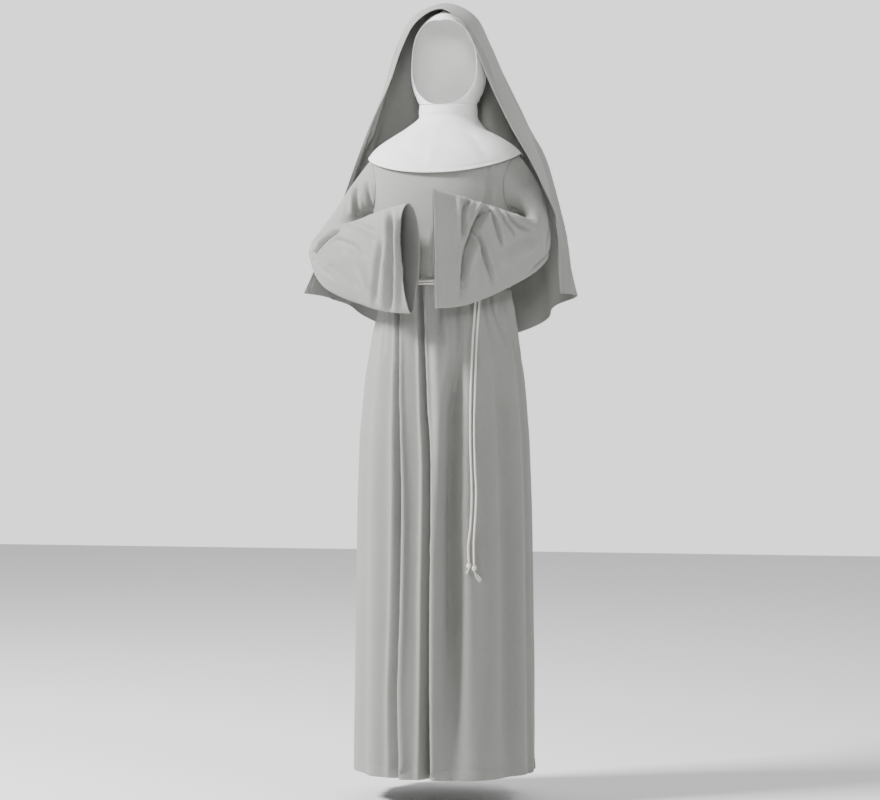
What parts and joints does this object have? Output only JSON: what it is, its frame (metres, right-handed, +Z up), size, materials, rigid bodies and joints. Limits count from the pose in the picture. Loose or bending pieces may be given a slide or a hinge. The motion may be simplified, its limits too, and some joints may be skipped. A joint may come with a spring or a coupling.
{
  "type": "nun habit",
  "caption": "Full-length grey robe with bell sleeves, white coif and round collar, grey veil and rope belt, held hollow in the pose of its wearer",
  "frame": {"origin": "base of the wearer's neck at shoulder level, on the body's centre line, where the shoulders carry the robe", "axes": "+Z is up, the robe's front faces -Y, and +X is the wearer's left"},
  "size_m": [0.6267, 0.4849, 1.6829],
  "materials": {
    "grey_cloth": "smooth mid-weight polyester weave with a slight sheen",
    "white_cloth": "smooth matte white knit",
    "cord": "twisted off-white cotton cord"
  },
  "bodies": {
    "root": {"robe_front": "grey_cloth", "robe_back": "grey_cloth", "sleeve_right": "grey_cloth", "sleeve_left": "grey_cloth", "veil": "grey_cloth", "coif": "white_cloth", "collar": "white_cloth", "belt_strand_upper": "cord", "belt_strand_lower": "cord", "waist_knot": "cord", "tail_left": "cord", "tail_right": "cord", "end_knot_left": "cord", "end_knot_right": "cord"}
  },
  "joints": []
}
